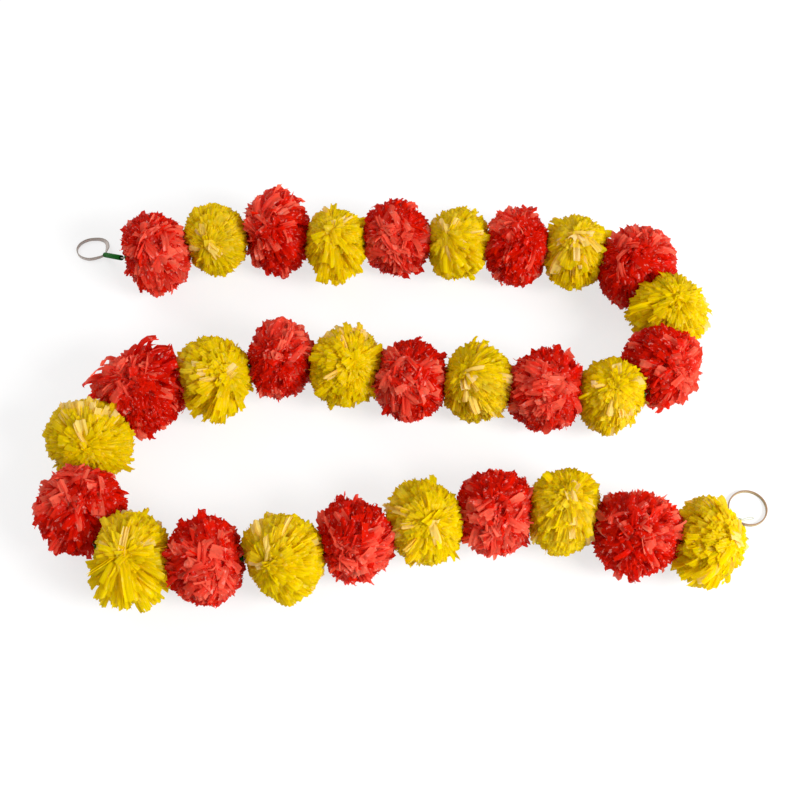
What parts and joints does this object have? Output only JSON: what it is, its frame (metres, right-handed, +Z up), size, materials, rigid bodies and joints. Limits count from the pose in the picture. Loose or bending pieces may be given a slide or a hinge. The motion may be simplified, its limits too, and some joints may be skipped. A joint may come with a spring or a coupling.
{
  "type": "artificial marigold garland",
  "caption": "String of dense red and yellow plastic film pompom flowers on green spacer tubes, laid in an S, with a strap hanging ring tied at each end.",
  "frame": {"origin": "on the table under the middle of the laid-out garland's box", "axes": "+X along the rows towards the picture's right, +Y from the near row to the far row, +Z up from the table"},
  "size_m": [0.5108, 0.3278, 0.0628],
  "materials": {
    "film_red": "thin glossy translucent polyethylene film cut in fine crinkled strips",
    "film_yellow": "thin glossy translucent polyethylene film cut in fine crinkled strips",
    "tube_green": "extruded dark green plastic straw",
    "string_thread": "thin pale polypropylene thread",
    "strap_grey": "milky grey plastic strapping",
    "strap_tan": "khaki plastic strapping"
  },
  "bodies": {
    "middle_string": {"string": "string_thread", "spacer_tube_middle": "tube_green"},
    "link_01": {"spacer_tube_01": "tube_green"},
    "link_02": {"spacer_tube_02": "tube_green"},
    "link_03": {"spacer_tube_03": "tube_green"},
    "link_04": {"spacer_tube_04": "tube_green"},
    "link_05": {"spacer_tube_05": "tube_green"},
    "link_06": {"spacer_tube_06": "tube_green"},
    "link_07": {"spacer_tube_07": "tube_green"},
    "link_08": {"spacer_tube_08": "tube_green"},
    "link_09": {"spacer_tube_09": "tube_green"},
    "link_10": {"spacer_tube_10": "tube_green"},
    "link_11": {"spacer_tube_11": "tube_green"},
    "link_12": {"spacer_tube_12": "tube_green"},
    "link_18": {"spacer_tube_18": "tube_green"},
    "link_19": {"spacer_tube_19": "tube_green"},
    "link_20": {"spacer_tube_20": "tube_green"},
    "link_21": {"spacer_tube_21": "tube_green"},
    "link_22": {"spacer_tube_22": "tube_green"},
    "link_23": {"spacer_tube_23": "tube_green"},
    "link_24": {"spacer_tube_24": "tube_green"},
    "link_25": {"spacer_tube_25": "tube_green"},
    "link_26": {"spacer_tube_26": "tube_green"},
    "link_27": {"spacer_tube_27": "tube_green"},
    "link_28": {"spacer_tube_28": "tube_green"},
    "link_29": {"spacer_tube_29": "tube_green"},
    "link_30": {"spacer_tube_30": "tube_green"},
    "end_tube": {"spacer_tube_00": "tube_green"},
    "ring_left": {"hanging_ring_left": "strap_grey"},
    "ring_right": {"hanging_ring_right": "strap_tan"},
    "pompom_01": {"flower_01": "film_red"},
    "pompom_02": {"flower_02": "film_yellow"},
    "pompom_03": {"flower_03": "film_red"},
    "pompom_04": {"flower_04": "film_yellow"},
    "pompom_05": {"flower_05": "film_red"},
    "pompom_06": {"flower_06": "film_yellow"},
    "pompom_07": {"flower_07": "film_red"},
    "pompom_08": {"flower_08": "film_yellow"},
    "pompom_09": {"flower_09": "film_red"},
    "pompom_10": {"flower_10": "film_yellow"},
    "pompom_11": {"flower_11": "film_red"},
    "pompom_12": {"flower_12": "film_yellow"},
    "pompom_13": {"flower_13": "film_red"},
    "pompom_14": {"flower_14": "film_yellow"},
    "pompom_15": {"flower_15": "film_red"},
    "pompom_16": {"flower_16": "film_yellow"},
    "pompom_17": {"flower_17": "film_red"},
    "pompom_18": {"flower_18": "film_yellow"},
    "pompom_19": {"flower_19": "film_red"},
    "pompom_20": {"flower_20": "film_yellow"},
    "pompom_21": {"flower_21": "film_red"},
    "pompom_22": {"flower_22": "film_yellow"},
    "pompom_23": {"flower_23": "film_red"},
    "pompom_24": {"flower_24": "film_yellow"},
    "pompom_25": {"flower_25": "film_red"},
    "pompom_26": {"flower_26": "film_yellow"},
    "pompom_27": {"flower_27": "film_red"},
    "pompom_28": {"flower_28": "film_yellow"},
    "pompom_29": {"flower_29": "film_red"},
    "pompom_30": {"flower_30": "film_yellow"}
  },
  "joints": [
    {"name": "bend_12", "type": "hinge", "parent": "middle_string", "child": "link_12", "pos_m": [0.12551, -0.01116, 0.032], "axis": [0, 0, -1], "range_deg": [0, 24], "deforming": ["string"]},
    {"name": "bend_11", "type": "hinge", "parent": "link_12", "child": "link_11", "pos_m": [0.17382, -0.00694, 0.032], "axis": [0, 0, -1], "range_deg": [0, 54], "deforming": ["string"]},
    {"name": "bend_10", "type": "hinge", "parent": "link_11", "child": "link_10", "pos_m": [0.2003, 0.03713, 0.032], "axis": [0, 0, -1], "range_deg": [0, 34], "deforming": ["string"]},
    {"name": "bend_09", "type": "hinge", "parent": "link_10", "child": "link_09", "pos_m": [0.19756, 0.08944, 0.032], "axis": [0, 0, -1], "range_deg": [0, 54], "deforming": ["string"]},
    {"name": "bend_08", "type": "hinge", "parent": "link_09", "child": "link_08", "pos_m": [0.15648, 0.11612, 0.032], "axis": [0, 0, -1], "range_deg": [0, 24], "deforming": ["string"]},
    {"name": "bend_07", "type": "hinge", "parent": "link_08", "child": "link_07", "pos_m": [0.11017, 0.12099, 0.032], "axis": [0, 0, -1], "range_deg": [0, 24], "deforming": ["string"]},
    {"name": "bend_06", "type": "hinge", "parent": "link_07", "child": "link_06", "pos_m": [0.06606, 0.12253, 0.032], "axis": [0, 0, -1], "range_deg": [0, 24], "deforming": ["string"]},
    {"name": "bend_05", "type": "hinge", "parent": "link_06", "child": "link_05", "pos_m": [0.01988, 0.1315, 0.032], "axis": [0, 0, -1], "range_deg": [0, 24], "deforming": ["string"]},
    {"name": "bend_04", "type": "hinge", "parent": "link_05", "child": "link_04", "pos_m": [-0.02681, 0.12577, 0.032], "axis": [0, 0, -1], "range_deg": [0, 24], "deforming": ["string"]},
    {"name": "bend_03", "type": "hinge", "parent": "link_04", "child": "link_03", "pos_m": [-0.07234, 0.12816, 0.032], "axis": [0, 0, -1], "range_deg": [0, 24], "deforming": ["string"]},
    {"name": "bend_02", "type": "hinge", "parent": "link_03", "child": "link_02", "pos_m": [-0.11804, 0.13704, 0.032], "axis": [0, 0, -1], "range_deg": [0, 24], "deforming": ["string"]},
    {"name": "bend_01", "type": "hinge", "parent": "link_02", "child": "link_01", "pos_m": [-0.1639, 0.12125, 0.032], "axis": [0, 0, -1], "range_deg": [0, 24], "deforming": ["string"]},
    {"name": "bend_18", "type": "hinge", "parent": "middle_string", "child": "link_18", "pos_m": [-0.10901, 0.0158, 0.032], "axis": [0, 0, -1], "range_deg": [0, 24], "deforming": ["string"]},
    {"name": "bend_19", "type": "hinge", "parent": "link_18", "child": "link_19", "pos_m": [-0.15703, 0.00203, 0.032], "axis": [0, 0, -1], "range_deg": [0, 24], "deforming": ["string"]},
    {"name": "bend_20", "type": "hinge", "parent": "link_19", "child": "link_20", "pos_m": [-0.20424, -0.01705, 0.032], "axis": [0, 0, -1], "range_deg": [0, 50], "deforming": ["string"]},
    {"name": "bend_21", "type": "hinge", "parent": "link_20", "child": "link_21", "pos_m": [-0.22148, -0.0701, 0.032], "axis": [0, 0, -1], "range_deg": [0, 39], "deforming": ["string"]},
    {"name": "bend_22", "type": "hinge", "parent": "link_21", "child": "link_22", "pos_m": [-0.20149, -0.12217, 0.032], "axis": [0, 0, -1], "range_deg": [0, 55], "deforming": ["string"]},
    {"name": "bend_23", "type": "hinge", "parent": "link_22", "child": "link_23", "pos_m": [-0.15114, -0.13472, 0.032], "axis": [0, 0, -1], "range_deg": [0, 24], "deforming": ["string"]},
    {"name": "bend_24", "type": "hinge", "parent": "link_23", "child": "link_24", "pos_m": [-0.10082, -0.1312, 0.032], "axis": [0, 0, -1], "range_deg": [0, 24], "deforming": ["string"]},
    {"name": "bend_25", "type": "hinge", "parent": "link_24", "child": "link_25", "pos_m": [-0.05258, -0.12613, 0.032], "axis": [0, 0, -1], "range_deg": [0, 24], "deforming": ["string"]},
    {"name": "bend_26", "type": "hinge", "parent": "link_25", "child": "link_26", "pos_m": [-0.00673, -0.11034, 0.032], "axis": [0, 0, -1], "range_deg": [0, 24], "deforming": ["string"]},
    {"name": "bend_27", "type": "hinge", "parent": "link_26", "child": "link_27", "pos_m": [0.04024, -0.10036, 0.032], "axis": [0, 0, -1], "range_deg": [0, 24], "deforming": ["string"]},
    {"name": "bend_28", "type": "hinge", "parent": "link_27", "child": "link_28", "pos_m": [0.08609, -0.09227, 0.032], "axis": [0, 0, -1], "range_deg": [0, 12], "deforming": ["string"]},
    {"name": "bend_29", "type": "hinge", "parent": "link_28", "child": "link_29", "pos_m": [0.13362, -0.10412, 0.032], "axis": [0, 0, -1], "range_deg": [0, 24], "deforming": ["string"]},
    {"name": "bend_30", "type": "hinge", "parent": "link_29", "child": "link_30", "pos_m": [0.18071, -0.11763, 0.032], "axis": [0, 0, -1], "range_deg": [0, 24], "deforming": ["string"]},
    {"name": "end_tube_lift", "type": "hinge", "parent": "link_01", "child": "end_tube", "pos_m": [-0.20897, 0.11167, 0.032], "axis": [0.7431, 0.6691, 0], "range_deg": [0, 75], "deforming": ["string"]},
    {"name": "ring_left_swing", "type": "hinge", "parent": "end_tube", "child": "ring_left", "pos_m": [-0.23406, 0.13792, 0.0015], "axis": [0, 0, 1], "range_deg": [-40, 40], "deforming": ["string"]},
    {"name": "ring_right_swing", "type": "hinge", "parent": "link_30", "child": "ring_right", "pos_m": [0.23273, -0.09273, 0.0013], "axis": [0, 0, 1], "range_deg": [-40, 40], "deforming": ["string"]},
    {"name": "spin_01", "type": "hinge", "parent": "link_01", "child": "pompom_01", "pos_m": [-0.18644, 0.11646, 0.032], "axis": [0.9781, 0.2079, 0], "continuous": true},
    {"name": "spin_02", "type": "hinge", "parent": "link_02", "child": "pompom_02", "pos_m": [-0.14097, 0.12915, 0.032], "axis": [0.9455, 0.3256, 0], "continuous": true},
    {"name": "spin_03", "type": "hinge", "parent": "link_03", "child": "pompom_03", "pos_m": [-0.09519, 0.1326, 0.032], "axis": [0.9816, -0.1908, 0], "continuous": true},
    {"name": "spin_04", "type": "hinge", "parent": "link_04", "child": "pompom_04", "pos_m": [-0.04958, 0.12696, 0.032], "axis": [0.9986, -0.0523, 0], "continuous": true},
    {"name": "spin_05", "type": "hinge", "parent": "link_05", "child": "pompom_05", "pos_m": [-0.00347, 0.12864, 0.032], "axis": [0.9925, 0.1219, 0], "continuous": true},
    {"name": "spin_06", "type": "hinge", "parent": "link_06", "child": "pompom_06", "pos_m": [0.04297, 0.12701, 0.032], "axis": [0.9816, -0.1908, 0], "continuous": true},
    {"name": "spin_07", "type": "hinge", "parent": "link_07", "child": "pompom_07", "pos_m": [0.08812, 0.12176, 0.032], "axis": [0.9994, -0.0349, 0], "continuous": true},
    {"name": "spin_08", "type": "hinge", "parent": "link_08", "child": "pompom_08", "pos_m": [0.13332, 0.11855, 0.032], "axis": [0.9945, -0.1045, 0], "continuous": true},
    {"name": "spin_09", "type": "hinge", "parent": "link_09", "child": "pompom_09", "pos_m": [0.17702, 0.10278, 0.032], "axis": [0.8387, -0.5446, 0], "continuous": true},
    {"name": "spin_10", "type": "hinge", "parent": "link_10", "child": "pompom_10", "pos_m": [0.19893, 0.06329, 0.032], "axis": [0.0523, -0.9986, 0], "continuous": true},
    {"name": "spin_11", "type": "hinge", "parent": "link_11", "child": "pompom_11", "pos_m": [0.18706, 0.0151, 0.032], "axis": [-0.515, -0.8572, 0], "continuous": true},
    {"name": "spin_12", "type": "hinge", "parent": "link_12", "child": "pompom_12", "pos_m": [0.14966, -0.00905, 0.032], "axis": [-0.9962, -0.0872, 0], "continuous": true},
    {"name": "spin_13", "type": "hinge", "parent": "middle_string", "child": "pompom_13", "pos_m": [0.10198, -0.0053, 0.032], "axis": [-0.9703, 0.2419, 0], "continuous": true},
    {"name": "spin_14", "type": "hinge", "parent": "middle_string", "child": "pompom_14", "pos_m": [0.05493, 0.00098, 0.032], "axis": [-0.9998, 0.0175, 0], "continuous": true},
    {"name": "spin_15", "type": "hinge", "parent": "middle_string", "child": "pompom_15", "pos_m": [0.00806, 0.00426, 0.032], "axis": [-0.9925, 0.1219, 0], "continuous": true},
    {"name": "spin_16", "type": "hinge", "parent": "middle_string", "child": "pompom_16", "pos_m": [-0.03867, 0.01518, 0.032], "axis": [-0.9455, 0.3256, 0], "continuous": true},
    {"name": "spin_17", "type": "hinge", "parent": "middle_string", "child": "pompom_17", "pos_m": [-0.08553, 0.01951, 0.032], "axis": [-0.9877, -0.1564, 0], "continuous": true},
    {"name": "spin_18", "type": "hinge", "parent": "link_18", "child": "pompom_18", "pos_m": [-0.13302, 0.00891, 0.032], "axis": [-0.9613, -0.2756, 0], "continuous": true},
    {"name": "spin_19", "type": "hinge", "parent": "link_19", "child": "pompom_19", "pos_m": [-0.18063, -0.00751, 0.032], "axis": [-0.9272, -0.3746, 0], "continuous": true},
    {"name": "spin_20", "type": "hinge", "parent": "link_20", "child": "pompom_20", "pos_m": [-0.21286, -0.04357, 0.032], "axis": [-0.309, -0.9511, 0], "continuous": true},
    {"name": "spin_21", "type": "hinge", "parent": "link_21", "child": "pompom_21", "pos_m": [-0.21148, -0.09613, 0.032], "axis": [0.3584, -0.9336, 0], "continuous": true},
    {"name": "spin_22", "type": "hinge", "parent": "link_22", "child": "pompom_22", "pos_m": [-0.17631, -0.12844, 0.032], "axis": [0.9703, -0.2419, 0], "continuous": true},
    {"name": "spin_23", "type": "hinge", "parent": "link_23", "child": "pompom_23", "pos_m": [-0.12598, -0.13296, 0.032], "axis": [0.9976, 0.0698, 0], "continuous": true},
    {"name": "spin_24", "type": "hinge", "parent": "link_24", "child": "pompom_24", "pos_m": [-0.0767, -0.12867, 0.032], "axis": [0.9945, 0.1045, 0], "continuous": true},
    {"name": "spin_25", "type": "hinge", "parent": "link_25", "child": "pompom_25", "pos_m": [-0.02966, -0.11824, 0.032], "axis": [0.9455, 0.3256, 0], "continuous": true},
    {"name": "spin_26", "type": "hinge", "parent": "link_26", "child": "pompom_26", "pos_m": [0.01676, -0.10535, 0.032], "axis": [0.9781, 0.2079, 0], "continuous": true},
    {"name": "spin_27", "type": "hinge", "parent": "link_27", "child": "pompom_27", "pos_m": [0.06316, -0.09632, 0.032], "axis": [0.9848, 0.1736, 0], "continuous": true},
    {"name": "spin_28", "type": "hinge", "parent": "link_28", "child": "pompom_28", "pos_m": [0.10986, -0.0982, 0.032], "axis": [0.9703, -0.2419, 0], "continuous": true},
    {"name": "spin_29", "type": "hinge", "parent": "link_29", "child": "pompom_29", "pos_m": [0.15716, -0.11088, 0.032], "axis": [0.9613, -0.2756, 0], "continuous": true},
    {"name": "spin_30", "type": "hinge", "parent": "link_30", "child": "pompom_30", "pos_m": [0.20374, -0.11803, 0.032], "axis": [0.9998, -0.0175, 0], "continuous": true}
  ]
}
